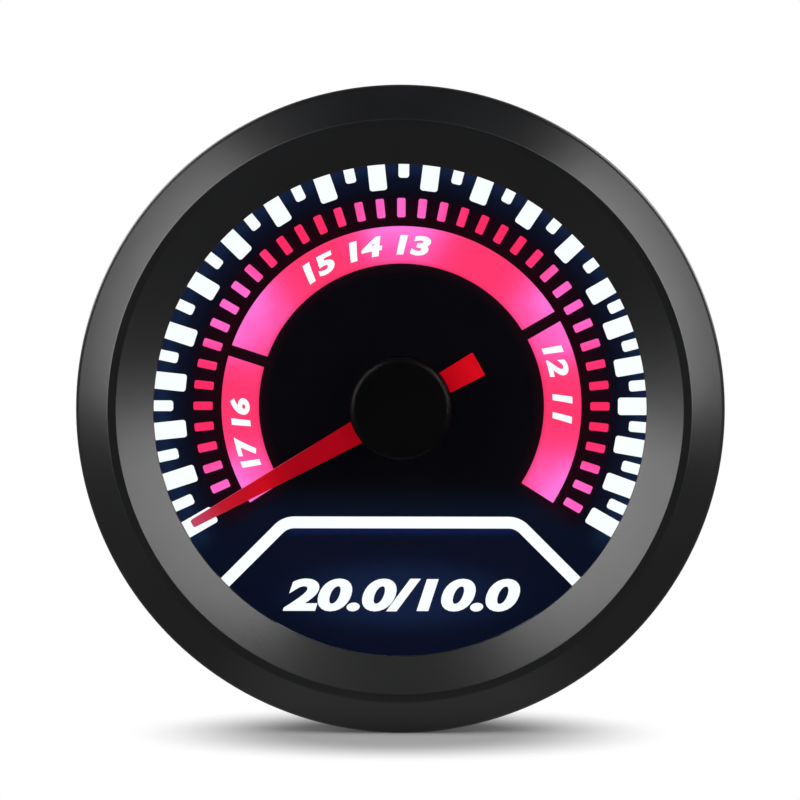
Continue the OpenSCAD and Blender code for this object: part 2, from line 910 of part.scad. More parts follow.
// Places of the white lamps: round the scale, and in a row under the panel
module white_lamp_places() {
    step = 2 * (180 - first_white_angle) / (white_lamp_count - 1);
    for (i = [0 : white_lamp_count - 1])
        at_dial(first_white_angle + i * step, white_lamp_r)
            children();
    for (i = [0 : panel_lamp_count - 1])
        translate([(i - (panel_lamp_count - 1) / 2) * panel_lamp_pitch, -panel_lamp_drop])
            children();
}

// Places of the red lamps, behind the bands
module red_lamp_places() {
    step = (last_mark_angle - first_mark_angle) / (red_lamp_count - 1);
    for (i = [0 : red_lamp_count - 1])
        at_dial(first_mark_angle + i * step, red_lamp_r)
            children();
}

module white_lamps() {
    color("#fdfdf0")
        face_frame()
            white_lamp_places()
                lamp(white_lamp);
}

module red_lamps() {
    color("#f4d3d3")
        face_frame()
            red_lamp_places()
                lamp(red_lamp);
}

module driver_chip() {
    back = board_back - driver_size.z;
    color("#1b1b1d")
        face_frame()
            translate(driver_at) {
                block(driver_size.x, driver_size.y, board_back, back);
                for (i = [0 : driver_leads - 1])
                    translate([0, (i - (driver_leads - 1) / 2) * lead_pitch, 0])
                        block(driver_size.x + 2 * lead_len, lead_w, board_back, board_back - lead_t);
            }
}

module resistors() {
    color("#2b2b2e")
        face_frame()
            for (side = [-1, 1], i = [0 : resistor_count - 1])
                translate(side * (resistor_at + [0, i * resistor_pitch]))
                    block(
                        resistor_size.x,
                        resistor_size.y,
                        board_back,
                        board_back - resistor_size.z
                    );
}

module board_screws() {
    color("#b9bcc2")
        face_frame()
            at_posts()
                translate([0, 0, board_front])
                    pan_screw();
}

// Places of the motor's four solder pins
module motor_pin_places() {
    for (side = [-1, 1], step = [-1, 1])
        translate([side * coil_x + step * motor_pin_gap, terminal_y])
            children();
}

module motor_front_cover() {
    color("#e6e2d6")
        face_frame()
            difference() {
                plate(board_back, motor_inner_front)
                    difference() {
                        motor_shape(0);
                        circle(r = bush_r + hole_gap, $fn = small_fn);
                        motor_pin_places()
                            circle(r = motor_pin_r + hole_gap, $fn = small_fn);
                    }
                for (place = [intermediate_at, rotor_at])
                    translate([place.x, place.y, 0])
                        disc(
                            pivot_r + running_gap,
                            motor_inner_front + pivot_depth,
                            motor_inner_front - over
                        );
            }
}

module motor_rear_cover() {
    color("#dcd8cb")
        face_frame()
            difference() {
                plate(motor_inner_front, motor_back)
                    motor_shape(0);
                plate(motor_inner_front + over, motor_inner_back)
                    motor_shape(motor_wall);
                disc(shaft_r + running_gap, motor_inner_back + over, motor_inner_back - pivot_depth);
                for (place = [intermediate_at, rotor_at])
                    translate([place.x, place.y, 0])
                        disc(
                            pivot_r + running_gap,
                            motor_inner_back + over,
                            motor_inner_back - pivot_depth
                        );
            }
}

module stator_cores() {
    color("#8b8e93")
        face_frame()
            plate(core_front, core_back)
                for (side = [0, 1])
                    mirror([side, 0])
                        core_shape();
}

// A solid of revolution about the right-hand coil's axis, from low to high along y
module coil_round(r, low, high) {
    translate([coil_x, high, (core_front + core_back) / 2])
        rotate([90, 0, 0])
            cylinder(r = r, h = high - low, $fn = small_fn);
}

// The slot that the core's leg fills
module core_slot() {
    plate(core_front + fit_gap, core_back - fit_gap)
        translate([coil_x, (coil_low + coil_high) / 2])
            square([core_w + 2 * fit_gap, coil_high - coil_low + 2 * over], center = true);
}

// Radius of the bobbin's tube, which clears the leg's corners
bobbin_tube_r = norm([core_w / 2, core_t / 2]) + fit_gap + bobbin_wall;

module coil_bobbins() {
    color("#2f6f4f")
        face_frame()
            for (side = [0, 1])
                mirror([side, 0, 0]) {
                    difference() {
                        union() {
                            coil_round(bobbin_tube_r, coil_low, coil_high);
                            coil_round(bobbin_r, coil_low, coil_low + bobbin_flange_t);
                            coil_round(bobbin_r, coil_high - bobbin_flange_t, coil_high);
                        }
                        core_slot();
                    }
                    plate(motor_inner_front, core_front)
                        translate([coil_x, terminal_y])
                            square([2 * bobbin_r, terminal_drop], center = true);
                }
}

module coil_windings() {
    color("#b5642c")
        face_frame()
            for (side = [0, 1])
                mirror([side, 0, 0])
                    difference() {
                        coil_round(
                            winding_r,
                            coil_low + bobbin_flange_t,
                            coil_high - bobbin_flange_t
                        );
                        coil_round(bobbin_tube_r, coil_low, coil_high);
                    }
}

module motor_pins() {
    color("#c9b458")
        face_frame()
            motor_pin_places()
                disc(motor_pin_r, board_front, motor_inner_front);
}

module rotor_magnet() {
    color("#3a3a40")
        face_frame()
            translate([rotor_at.x, rotor_at.y, 0])
                ring(magnet_r, spindle_r + hole_gap, magnet_front, magnet_back);
}

module rotor_spindle() {
    color("#d8d4c4")
        face_frame()
            translate([rotor_at.x, rotor_at.y, 0]) {
                disc(spindle_r, motor_inner_front - fit_gap, motor_inner_back + fit_gap);
                disc(pivot_r, motor_inner_front + pivot_len, motor_inner_back - pivot_len);
                plate(rotor_pinion_front, rotor_pinion_back)
                    rotate(to_rotor + 180)
                        polygon(gear_outline(rotor_pinion_teeth, rotor_module));
            }
}

module intermediate_gear() {
    color("#efe9da")
        face_frame()
            translate([intermediate_at.x, intermediate_at.y, 0]) {
                disc(spindle_r, motor_inner_front - fit_gap, motor_inner_back + fit_gap);
                disc(pivot_r, motor_inner_front + pivot_len, motor_inner_back - pivot_len);
                plate(output_front, intermediate_back)
                    rotate(to_intermediate + 180)
                        polygon(gear_outline(output_pinion_teeth, output_module));
                plate(intermediate_front, intermediate_back)
                    rotate(to_rotor + 180 / intermediate_teeth)
                        polygon(gear_outline(intermediate_teeth, rotor_module));
            }
}

module output_wheel() {
    color("#efe9da")
        face_frame()
            difference() {
                union() {
                    plate(output_front, output_back)
                        rotate(to_intermediate + 180 / output_teeth)
                            polygon(gear_outline(output_teeth, output_module));
                    disc(wheel_hub_r, output_front, intermediate_back);
                }
                disc(shaft_r, output_front + over, intermediate_back - over);
            }
}

module pointer_shaft() {
    color("#c4c7cc")
        face_frame()
            disc(shaft_r, shaft_front, motor_inner_back - pivot_len);
}

module shaft_bush() {
    color("#c79b45")
        face_frame()
            ring(bush_r, shaft_r + running_gap, bush_front, motor_inner_front);
}

// Blade and tail, drawn along x: the blade towards +x
module blade_shape() {
    polygon(rounded_outline([
        [0, -blade_root_w / 2, 0],
        [hub_r, -blade_root_w / 2, 0],
        [blade_tip_r, -blade_tip_w / 2, tip_round],
        [blade_tip_r, blade_tip_w / 2, tip_round],
        [hub_r, blade_root_w / 2, 0],
        [0, blade_root_w / 2, 0]
    ]));
    polygon(rounded_outline([
        [0, -tail_root_w / 2, 0],
        [0, tail_root_w / 2, 0],
        [-hub_r, tail_root_w / 2, 0],
        [-tail_len, tail_end_w / 2, tail_round],
        [-tail_len, -tail_end_w / 2, tail_round],
        [-hub_r, -tail_root_w / 2, 0]
    ]));
}

// Turns a shape drawn along x to the pointer's place at rest
module at_rest() {
    rotate(-90 - rest_angle)
        children();
}

module pointer_blade() {
    color("#c8041a")
        face_frame()
            difference() {
                union() {
                    plate(blade_front, blade_back)
                        at_rest()
                            blade_shape();
                    disc(blade_disc_r, blade_front, blade_back);
                    disc(blade_boss_r, shaft_front, hub_back);
                }
                disc(shaft_r, shaft_front + over, hub_back - over);
            }
}

module pointer_hub() {
    slot_w = max(blade_root_w, tail_root_w) + 2 * fit_gap;
    color("#08080a")
        face_frame()
            difference() {
                rotate_extrude($fn = large_fn)
                    polygon(rounded_outline([
                        [0, hub_front, 0],
                        [0, shaft_front, 0],
                        [hub_r - hub_wall, shaft_front, 0],
                        [hub_r - hub_wall, hub_back, 0],
                        [hub_r, hub_back, 0],
                        [hub_r, hub_front, hub_round]
                    ]));
                at_rest()
                    block(2 * hub_r + 2 * over, slot_w, blade_front, hub_back - over);
            }
}

module header_strips() {
    color("#151515")
        face_frame()
            translate([0, header_y, 0])
                for (front = [board_back, power_front + header_strip_h])
                    difference() {
                        block(
                            header_count * pin_pitch,
                            header_strip_w,
                            front,
                            front - header_strip_h
                        );
                        for (i = [0 : header_count - 1])
                            translate([(i - (header_count - 1) / 2) * pin_pitch, 0, 0])
                                disc(pin_r + hole_gap, front + over, front - header_strip_h - over);
                    }
}

module header_pins() {
    color("#c9b458")
        face_frame()
            translate([0, header_y, 0])
                pin_row(header_count, board_front, power_back - fit_gap);
}

module power_board() {
    color("#1d4d2b")
        face_frame()
            plate(power_front, power_back)
                difference() {
                    rounded_box_shape(
                        [-power_half_w, -power_drop],
                        [power_half_w, power_top],
                        power_round
                    );
                    for (row = [[header_count, header_y], [connector_count, 0]])
                        for (i = [0 : row[0] - 1])
                            translate([(i - (row[0] - 1) / 2) * pin_pitch, row[1]])
                                circle(r = pin_r + hole_gap, $fn = small_fn);
                }
}

module voltage_regulator() {
    tab_y = regulator_size.y / 2 + regulator_tab.y / 2;
    color("#1b1b1d")
        face_frame()
            translate(regulator_at) {
                block(
                    regulator_size.x,
                    regulator_size.y,
                    power_front + regulator_size.z,
                    power_front
                );
                translate([0, tab_y, 0])
                    block(
                        regulator_tab.x,
                        regulator_tab.y,
                        power_front + regulator_tab.z,
                        power_front
                    );
                for (side = [-1, 1])
                    translate([side * regulator_lead_pitch, -tab_y, 0])
                        block(
                            2 * lead_w,
                            regulator_tab.y,
                            power_front + regulator_tab.z,
                            power_front
                        );
            }
}

module capacitors() {
    base = 2 * capacitor_r;
    color("#a9adb3")
        face_frame()
            for (side = [-1, 1])
                translate([side * capacitor_at.x, capacitor_at.y, 0]) {
                    block(base, base, power_back, power_back - capacitor_base_t);
                    disc(capacitor_r - fit_gap, power_back, power_back - capacitor_h);
                }
}

// Section of the connector's body or of its hollow
module socket_shape(w, h) {
    rounded_box_shape([-w / 2, -h / 2], [w / 2, h / 2], socket_round);
}

module connector_housing() {
    color("#111214")
        face_frame()
            difference() {
                union() {
                    plate(power_back, socket_end)
                        socket_shape(socket_outer_w, socket_outer_h);
                    plate(cover_front + socket_flange_t, cover_front)
                        socket_shape(
                            socket_outer_w + 2 * socket_flange_w,
                            socket_outer_h + 2 * socket_flange_w
                        );
                    translate([0, socket_outer_h / 2, 0])
                        block(
                            latch_w,
                            2 * latch_h,
                            socket_end + 2 * latch_len,
                            socket_end + latch_len
                        );
                }
                plate(socket_end + socket_depth, socket_end - over)
                    socket_shape(socket_w, socket_h);
                for (i = [0 : connector_count - 1])
                    translate([(i - (connector_count - 1) / 2) * pin_pitch, 0, 0])
                        disc(pin_r + hole_gap, power_back + over, socket_end);
            }
}

module connector_pins() {
    color("#c9b458")
        face_frame()
            pin_row(
                connector_count,
                power_front + fit_gap,
                socket_end + socket_depth - socket_pin_len
            );
}

module case_can() {
    color("#1a1b1e")
        face_frame()
            difference() {
                union() {
                    rotate_extrude($fn = large_fn)
                        polygon([
                            [inner_r, gasket_back],
                            [lens_pocket_r, gasket_back],
                            [lens_pocket_r, flange_t],
                            [flange_r, flange_t],
                            [flange_r, 0],
                            [barrel_r, 0],
                            [barrel_r, cover_back],
                            [inner_r, cover_back],
                            [inner_r, ledge_front],
                            [ledge_back_r, ledge_front],
                            [ledge_back_r, ledge_front + ledge_w],
                            [inner_r, ledge_front + 2 * ledge_w]
                        ]);
                    at_posts()
                        disc(post_r, board_back, ledge_front);
                }
                at_posts() {
                    disc(pilot_r, board_back + over, board_back - pilot_depth);
                    disc(pilot_r, ledge_front + pilot_depth, ledge_front - over);
                }
            }
}

module rear_seal() {
    color("#101010")
        face_frame()
            plate(ledge_front, cover_front)
                difference() {
                    circle(r = cover_r, $fn = large_fn);
                    difference() {
                        circle(r = ledge_back_r, $fn = large_fn);
                        at_posts()
                            circle(r = post_r, $fn = small_fn);
                    }
                    at_posts()
                        circle(r = screw_hole_r, $fn = small_fn);
                }
}

module rear_cover() {
    color("#1d1e21")
        face_frame()
            plate(cover_front, cover_back)
                difference() {
                    circle(r = cover_r, $fn = large_fn);
                    socket_shape(socket_outer_w + 2 * fit_gap, socket_outer_h + 2 * fit_gap);
                    for (side = [-1, 1])
                        translate([side * stud_spacing / 2, 0])
                            circle(r = stud_neck_r + hole_gap, $fn = small_fn);
                    at_posts()
                        circle(r = screw_hole_r, $fn = small_fn);
                }
}

module rear_cover_screws() {
    color("#b9bcc2")
        face_frame()
            at_posts()
                translate([0, 0, cover_back])
                    mirror([0, 0, 1])
                        pan_screw();
}

module mounting_studs() {
    color("#c4c7cc")
        face_frame()
            for (side = [-1, 1])
                translate([side * stud_spacing / 2, 0, 0]) {
                    disc(stud_head_r, cover_front + stud_head_t, cover_front);
                    disc(stud_neck_r, cover_front, cover_back);
                    disc(stud_r, cover_back, stud_end);
                }
}

bezel_ring();
lens();
lens_gasket();
dial_shroud();
dial_plate();
scale_blocks();
scale_bars();
mixture_bands();
panel_line();
diffuser_disc();
light_box();
circuit_board();
white_lamps();
red_lamps();
driver_chip();
resistors();
board_screws();
motor_front_cover();
motor_rear_cover();
stator_cores();
coil_bobbins();
coil_windings();
motor_pins();
rotor_magnet();
rotor_spindle();
intermediate_gear();
output_wheel();
pointer_shaft();
shaft_bush();
pointer_blade();
pointer_hub();
header_strips();
header_pins();
power_board();
voltage_regulator();
capacitors();
connector_housing();
connector_pins();
case_can();
rear_seal();
rear_cover();
rear_cover_screws();
mounting_studs();
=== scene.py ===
"""Dresses the air to fuel ratio gauge: looks, lights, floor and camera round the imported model.

Lengths are in metres, in the frame of the CAD: the gauge's axis is the Y axis, its face looks
along -Y, twelve o'clock is at +Z, and the bezel meets the panel in the plane y = 0.
Angles on the dial count clockwise from six o'clock, in degrees, as the driver sees it.
Inside the materials, places and distances are in millimetres.
"""
import json
import math

import bmesh
import bpy
from mathutils import Matrix, Quaternion, Vector


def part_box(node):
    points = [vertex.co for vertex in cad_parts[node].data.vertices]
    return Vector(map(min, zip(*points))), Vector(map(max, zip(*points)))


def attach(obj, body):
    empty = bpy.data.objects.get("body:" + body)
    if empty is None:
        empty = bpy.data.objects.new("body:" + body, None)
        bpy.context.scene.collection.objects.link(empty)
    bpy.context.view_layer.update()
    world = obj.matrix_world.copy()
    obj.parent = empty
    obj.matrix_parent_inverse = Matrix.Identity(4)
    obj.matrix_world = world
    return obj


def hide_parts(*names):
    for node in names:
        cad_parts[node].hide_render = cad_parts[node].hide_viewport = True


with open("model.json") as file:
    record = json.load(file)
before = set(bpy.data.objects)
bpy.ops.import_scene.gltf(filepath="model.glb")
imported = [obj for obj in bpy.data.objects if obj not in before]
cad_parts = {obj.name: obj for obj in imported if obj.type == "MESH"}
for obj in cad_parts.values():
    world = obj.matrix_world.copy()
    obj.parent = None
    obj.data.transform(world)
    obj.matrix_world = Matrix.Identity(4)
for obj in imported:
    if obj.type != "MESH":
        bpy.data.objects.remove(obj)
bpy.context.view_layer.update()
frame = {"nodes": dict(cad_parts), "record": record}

MM = 0.001

# Sizes of the gauge that the pieces and materials below share
BEZEL_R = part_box("bezel_ring")[1].x
DIAL_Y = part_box("dial_plate")[0].y
# Inner edge of the mixture bands, and a stretch of the gap between them and the bars, in mm
BANDS_INNER_R = 13.3
BANDS_TO_BARS = (17.0, 17.3)
# Distance from the axis, in mm, at which the colour ramps of the dial and pointer end
COLOUR_R = 25.0
# Middle height of the numbers in the lower panel
RANGE_NUMBERS_Z = -17.7 * MM
# Dial angle of the pointer at rest, just up the scale from its first mark
REST_ANGLE = 60.7

# The smoked lens: how much light each of its two faces stops, and what makes up for both
LENS_ALPHA = 0.08
LENS_LOSS = 1 / (1 - LENS_ALPHA) ** 2


# Node materials

class Shader:
    """A material built node by node, in object coordinates scaled to millimetres."""

    def __init__(self, name):
        self.material = bpy.data.materials.new(name)
        self.material.use_nodes = True
        self.tree = self.material.node_tree
        self.tree.nodes.clear()
        self.output = self.tree.nodes.new("ShaderNodeOutputMaterial")
        place = self.tree.nodes.new("ShaderNodeTexCoord")
        self.place = self.vector("SCALE", place.outputs["Object"], scale=1 / MM)

    def link(self, value, socket):
        """Feeds a socket from another node's socket, or with a constant."""
        if isinstance(value, bpy.types.NodeSocket):
            self.tree.links.new(value, socket)
        elif value is not None:
            socket.default_value = value

    def math(self, operation, a, b=None):
        node = self.tree.nodes.new("ShaderNodeMath")
        node.operation = operation
        for socket, value in zip(node.inputs, (a, b)):
            self.link(value, socket)
        return node.outputs[0]

    def vector(self, operation, a, b=None, scale=None):
        node = self.tree.nodes.new("ShaderNodeVectorMath")
        node.operation = operation
        self.link(a, node.inputs[0])
        if b is not None:
            self.link(b, node.inputs[1])
        if scale is not None:
            self.link(scale, node.inputs["Scale"])
        return node.outputs["Value" if operation in ("LENGTH", "DOT_PRODUCT") else "Vector"]

    def part(self, vector, axis):
        """One component of a vector: "X", "Y" or "Z"."""
        node = self.tree.nodes.new("ShaderNodeSeparateXYZ")
        self.link(vector, node.inputs[0])
        return node.outputs[axis]

    def distance_along(self, axis):
        """Distance of the place from the origin along an axis, whichever side it is on."""
        return self.math("ABSOLUTE", self.part(self.place, axis))

    def noise(self, size_mm, detail=3.0, roughness=0.5, stretch=(1, 1, 1)):
        """Noise whose features are about size_mm across, from 0 to 1."""
        where = self.vector("MULTIPLY", self.place, tuple(1 / s for s in stretch))
        node = self.tree.nodes.new("ShaderNodeTexNoise")
        self.link(where, node.inputs["Vector"])
        node.inputs["Scale"].default_value = 1 / size_mm
        node.inputs["Detail"].default_value = detail
        node.inputs["Roughness"].default_value = roughness
        return node.outputs["Fac"]

    def ramp(self, value, low, high, out_low=0.0, out_high=1.0, smooth=False):
        """Maps low to high onto out_low to out_high, and stops at both ends."""
        node = self.tree.nodes.new("ShaderNodeMapRange")
        node.interpolation_type = "SMOOTHSTEP" if smooth else "LINEAR"
        for socket, number in zip(node.inputs, (value, low, high, out_low, out_high)):
            self.link(number, socket)
        return node.outputs[0]

    def spread(self, noise, out_low=0.0, out_high=1.0):
        """Stretches the middle of a noise, where most of it lies, over a range."""
        return self.ramp(noise, 0.3, 0.7, out_low, out_high)

    def colours(self, value, stops):
        """Colour ramp through (position, sRGB colour) stops."""
        node = self.tree.nodes.new("ShaderNodeValToRGB")
        self.link(value, node.inputs[0])
        elements = node.color_ramp.elements
        while len(elements) < len(stops):
            elements.new(0.5)
        for element, (position, colour) in zip(elements, stops):
            element.position = position
            element.color = linear(colour)
        return node.outputs[0]

    def blend(self, factor, a, b):
        """Mixes two colours, each a socket or an sRGB colour."""
        node = self.tree.nodes.new("ShaderNodeMix")
        node.data_type = "RGBA"
        # The node has sockets of the same names for each data type, so colours go by index
        colour_a, colour_b, colour_out = node.inputs[6], node.inputs[7], node.outputs[2]
        self.link(factor, node.inputs["Factor"])
        for socket, value in ((colour_a, a), (colour_b, b)):
            self.link(linear(value) if isinstance(value, str) else value, socket)
        return colour_out

    def bump(self, height, distance_mm, strength=1.0, below=None):
        node = self.tree.nodes.new("ShaderNodeBump")
        node.inputs["Strength"].default_value = strength
        node.inputs["Distance"].default_value = distance_mm * MM
        self.link(height, node.inputs["Height"])
        self.link(below, node.inputs["Normal"])
        return node.outputs[0]

    def surface(self, colour, roughness, normal=None, emission=None, **constants):
        """The Principled shader. Constants are socket names with underscores for spaces."""
        node = self.tree.nodes.new("ShaderNodeBsdfPrincipled")
        self.link(linear(colour) if isinstance(colour, str) else colour, node.inputs["Base Color"])
        self.link(roughness, node.inputs["Roughness"])
        self.link(normal, node.inputs["Normal"])
        if emission is not None:
            self.link(emission, node.inputs["Emission Color"])
            node.inputs["Emission Strength"].default_value = LENS_LOSS
        for name, value in constants.items():
            node.inputs[name.replace("_", " ")].default_value = value
        self.tree.links.new(node.outputs[0], self.output.inputs["Surface"])


def linear(hex_colour):
    """Linear RGBA of an sRGB colour such as "#17181b"."""
    parts = [int(hex_colour[i:i + 2], 16) / 255 for i in (1, 3, 5)]
    return tuple(p / 12.92 if p <= 0.04045 else ((p + 0.055) / 1.055) ** 2.4
                 for p in parts) + (1.0,)


def plastic(name, dark, light, roughness, grain_mm=0.3, grain_depth=0.006, specular=0.5):
    """Moulded plastic: a mottled colour, fine spark-eroded grain and faint flow streaks."""
    s = Shader(name)
    cloud = s.noise(6.0, 4)
    grain = s.noise(grain_mm, 5, 0.6)
    scuffs = s.ramp(s.noise(1.6, 8, 0.65, stretch=(3, 1, 1)), 0.58, 0.7)
    colour = s.blend(s.spread(cloud), dark, light)
    colour = s.blend(s.math("MULTIPLY", scuffs, 0.12), colour, light)
    rough = s.ramp(cloud, 0.25, 0.75, roughness - 0.04, roughness + 0.04)
    rough = s.math("ADD", rough, s.math("MULTIPLY", scuffs, 0.05))
    normal = s.bump(s.noise(2.5, 2), 0.02, 0.4, s.bump(grain, grain_depth))
    s.surface(colour, rough, normal, Specular_IOR_Level=specular)
    return s.material


def metal(name, dark, light, roughness, drawn=1, streak_mm=0.12):
    """Metal with duller patches, and fine streaks drawn out that many times along the axis."""
    s = Shader(name)
    cloud = s.noise(4.0, 4)
    streaks = s.noise(streak_mm, 3, 0.6, stretch=(1, drawn, 1))
    mottle = s.math("ADD", cloud, s.math("MULTIPLY", streaks, 0.3))
    colour = s.blend(s.ramp(mottle, 0.4, 0.9), dark, light)
    rough = s.spread(cloud, roughness - 0.05, roughness + 0.08)
    s.surface(colour, rough, s.bump(streaks, 0.003), Metallic=1.0)
    return s.material


def rubber(name, dark, light):
    """Dull rubber with a film of dust."""
    s = Shader(name)
    dust = s.noise(0.8, 6, 0.7)
    colour = s.blend(s.ramp(dust, 0.35, 0.75), dark, light)
    s.surface(colour, s.spread(dust, 0.75, 0.9), s.bump(s.noise(0.15, 4), 0.01),
              Specular_IOR_Level=0.25)
    return s.material


def board():
    """Solder mask with faint copper tracks under it."""
    s = Shader("board_green")
    half_pitch, track_half_w, track_edge, wander = 0.9, 0.28, 0.36, 6.0
    across = s.math("ADD", s.part(s.place, "X"), s.math("MULTIPLY", s.noise(7.0, 0), wander))
    from_track = s.math("PINGPONG", across, half_pitch)
    tracks = s.ramp(from_track, track_half_w, track_edge, 1.0, 0.0, smooth=True)
    weave = s.noise(0.5, 3, 0.6)
    colour = s.blend(s.spread(weave), "#12351d", "#1b4a29")
    colour = s.blend(s.math("MULTIPLY", tracks, 0.6), colour, "#2c6b3c")
    s.surface(colour, s.spread(weave, 0.3, 0.42), s.bump(tracks, 0.03),
              Specular_IOR_Level=0.5)
    return s.material


# Materials of the lit dial

def from_axis(s):
    """Node for the distance from the gauge's axis, in mm."""
    x, z = s.part(s.place, "X"), s.part(s.place, "Z")
    return s.math("SQRT", s.math("ADD", s.math("MULTIPLY", x, x), s.math("MULTIPLY", z, z)))


def dial_angle(s):
    """Node for the dial angle, in radians."""
    x, z = s.part(s.place, "X"), s.part(s.place, "Z")
    return s.math("ARCTAN2", s.math("MULTIPLY", x, -1.0), s.math("MULTIPLY", z, -1.0))


def dial_glow(s):
    """Light that leaks through the print below the scale and in the lower panel."""
    # Above the panel's line the glow grows downwards, and a little towards the sides
    z = s.part(s.place, "Z")
    above_line = s.ramp(z, -6.6, -10.6, smooth=True)
    outwards = s.ramp(s.distance_along("X"), 9.0, 17.0, 1.0, 1.25)
    glow = s.blend(s.math("MULTIPLY", above_line, outwards), "#020205", "#060e20")

    # The panel lies under the line and between its slanted ends, which run at 45 degrees
    line_z, slanted_ends = (-11.3, -11.6), (-0.9, -1.5)
    under_line = s.ramp(z, *line_z, smooth=True)
    between_ends = s.ramp(s.math("ADD", s.distance_along("X"), z), *slanted_ends, smooth=True)

    # Inside the panel the glow gathers by the line and round the numbers
    by_line = s.ramp(z, -12.4, -11.3, smooth=True)
    numbers_at, numbers_reach = (0.0, 0.0, RANGE_NUMBERS_Z / MM), (12.5, 3.9)
    to_numbers = s.vector("MULTIPLY", s.vector("SUBTRACT", s.place, numbers_at),
                          (1 / numbers_reach[0], 0.0, 1 / numbers_reach[1]))
    by_numbers = s.ramp(s.vector("LENGTH", to_numbers), 1.1, 0.35, smooth=True)
    lit = s.blend(by_numbers, "#060c20", "#101d3c")
    lit = s.blend(s.math("MULTIPLY", by_line, 0.8), lit, "#0e1d54")
    return s.blend(s.math("MULTIPLY", under_line, between_ends), glow, lit)


def dial_print():
    """Black print that lets a little light through: navy by the white marks, wine by the bars."""
    s = Shader("dial_black")
    rings = s.colours(s.math("DIVIDE", from_axis(s), COLOUR_R), [
        (0.0, "#020106"), (0.49, "#030206"), (0.53, "#16030a"), (0.60, "#1c040c"),
        (0.69, "#1b030b"), (0.77, "#15040f"), (0.80, "#090a18"), (0.85, "#0b1226"),
        (0.89, "#12203c"), (0.98, "#0d172c")])
    beside_scale = s.ramp(s.math("COSINE", dial_angle(s)), 0.52, 0.62, 1.0, 0.0, smooth=True)
    beside_scale = s.math("MULTIPLY", beside_scale, s.ramp(from_axis(s), 6.0, 13.0))
    emission = s.blend(beside_scale, dial_glow(s), rings)
    grain = s.noise(0.08, 4, 0.6)
    s.surface(s.blend(s.spread(s.noise(5.0)), "#020203", "#040405"),
              s.spread(grain, 0.5, 0.62), s.bump(grain, 0.002),
              emission, Specular_IOR_Level=0.06)
    return s.material


def lit_white():
    """Backlit white: nearly even, a touch cooler towards the outside."""
    s = Shader("window_white")
    mottle = s.spread(s.noise(1.5, 3))
    cool = s.blend(s.ramp(from_axis(s), 12.0, 23.0), "#fdffff", "#f9fffe")
    emission = s.blend(s.math("MULTIPLY", mottle, 0.15), cool, "#f2fbff")
    s.surface("#202224", 0.5, s.bump(s.noise(0.1, 3), 0.002), emission, Specular_IOR_Level=0.1)
    return s.material


def lit_red():
    """Backlit red with a pink hot spot in front of each of its lamps, every 60 degrees."""
    s = Shader("window_red")
    spots = 6.0
    r = from_axis(s)
    wave = s.ramp(s.math("COSINE", s.math("MULTIPLY", dial_angle(s), spots)), -0.95, 1.0,
                  smooth=True)
    outer = s.ramp(r, BANDS_INNER_R, 16.4, 0.5, 1.0)
    patchy = s.ramp(s.noise(3.0, 2), 0.35, 0.65, 0.88, 1.05)
    hot = s.math("MULTIPLY", s.math("MULTIPLY", wave, outer), patchy)
    bands = s.colours(hot, [
        (0.0, "#fd386f"), (0.3, "#fe4284"), (0.65, "#ff57ab"), (1.0, "#ff76dc")])
    bars = s.colours(hot, [
        (0.0, "#fb2a62"), (0.3, "#fd3576"), (0.65, "#ff4fa2"), (1.0, "#ff6ace")])
    emission = s.blend(s.ramp(r, *BANDS_TO_BARS), bands, bars)
    edge = s.ramp(r, BANDS_INNER_R, 13.8, 0.35, 0.0, smooth=True)
    emission = s.blend(edge, emission, "#e02054")
    s.surface("#2a0410", 0.5, s.bump(s.noise(0.1, 3), 0.002), emission, Specular_IOR_Level=0.1)
    return s.material


def smoked_lens():
    """Thin smoked plastic, nearly clear, with a faint haze."""
    s = Shader("lens_smoke")
    haze = s.noise(9.0, 3)
    s.surface(s.blend(haze, "#020203", "#050507"), s.spread(haze, 0.03, 0.06),
              Alpha=LENS_ALPHA, Specular_IOR_Level=0.14)
    return s.material


def satin_black():
    """Bezel: satin black paint over moulded plastic, a shade lighter where it is rubbed."""
    s = Shader("bezel_black")
    cloud = s.noise(9.0, 4)
    fine = s.noise(0.22, 5, 0.62)
    rubbed = s.ramp(s.noise(0.9, 8, 0.7), 0.6, 0.72)
    colour = s.blend(s.spread(cloud), "#090a0c", "#0d0e11")
    colour = s.blend(s.math("MULTIPLY", rubbed, 0.2), colour, "#202124")
    rough = s.spread(cloud, 0.27, 0.32)
    rough = s.math("ADD", rough, s.math("MULTIPLY", rubbed, 0.04))
    s.surface(colour, rough, s.bump(s.noise(3.0, 2), 0.012, 0.5, s.bump(fine, 0.0025)),
              Specular_IOR_Level=0.7)
    return s.material


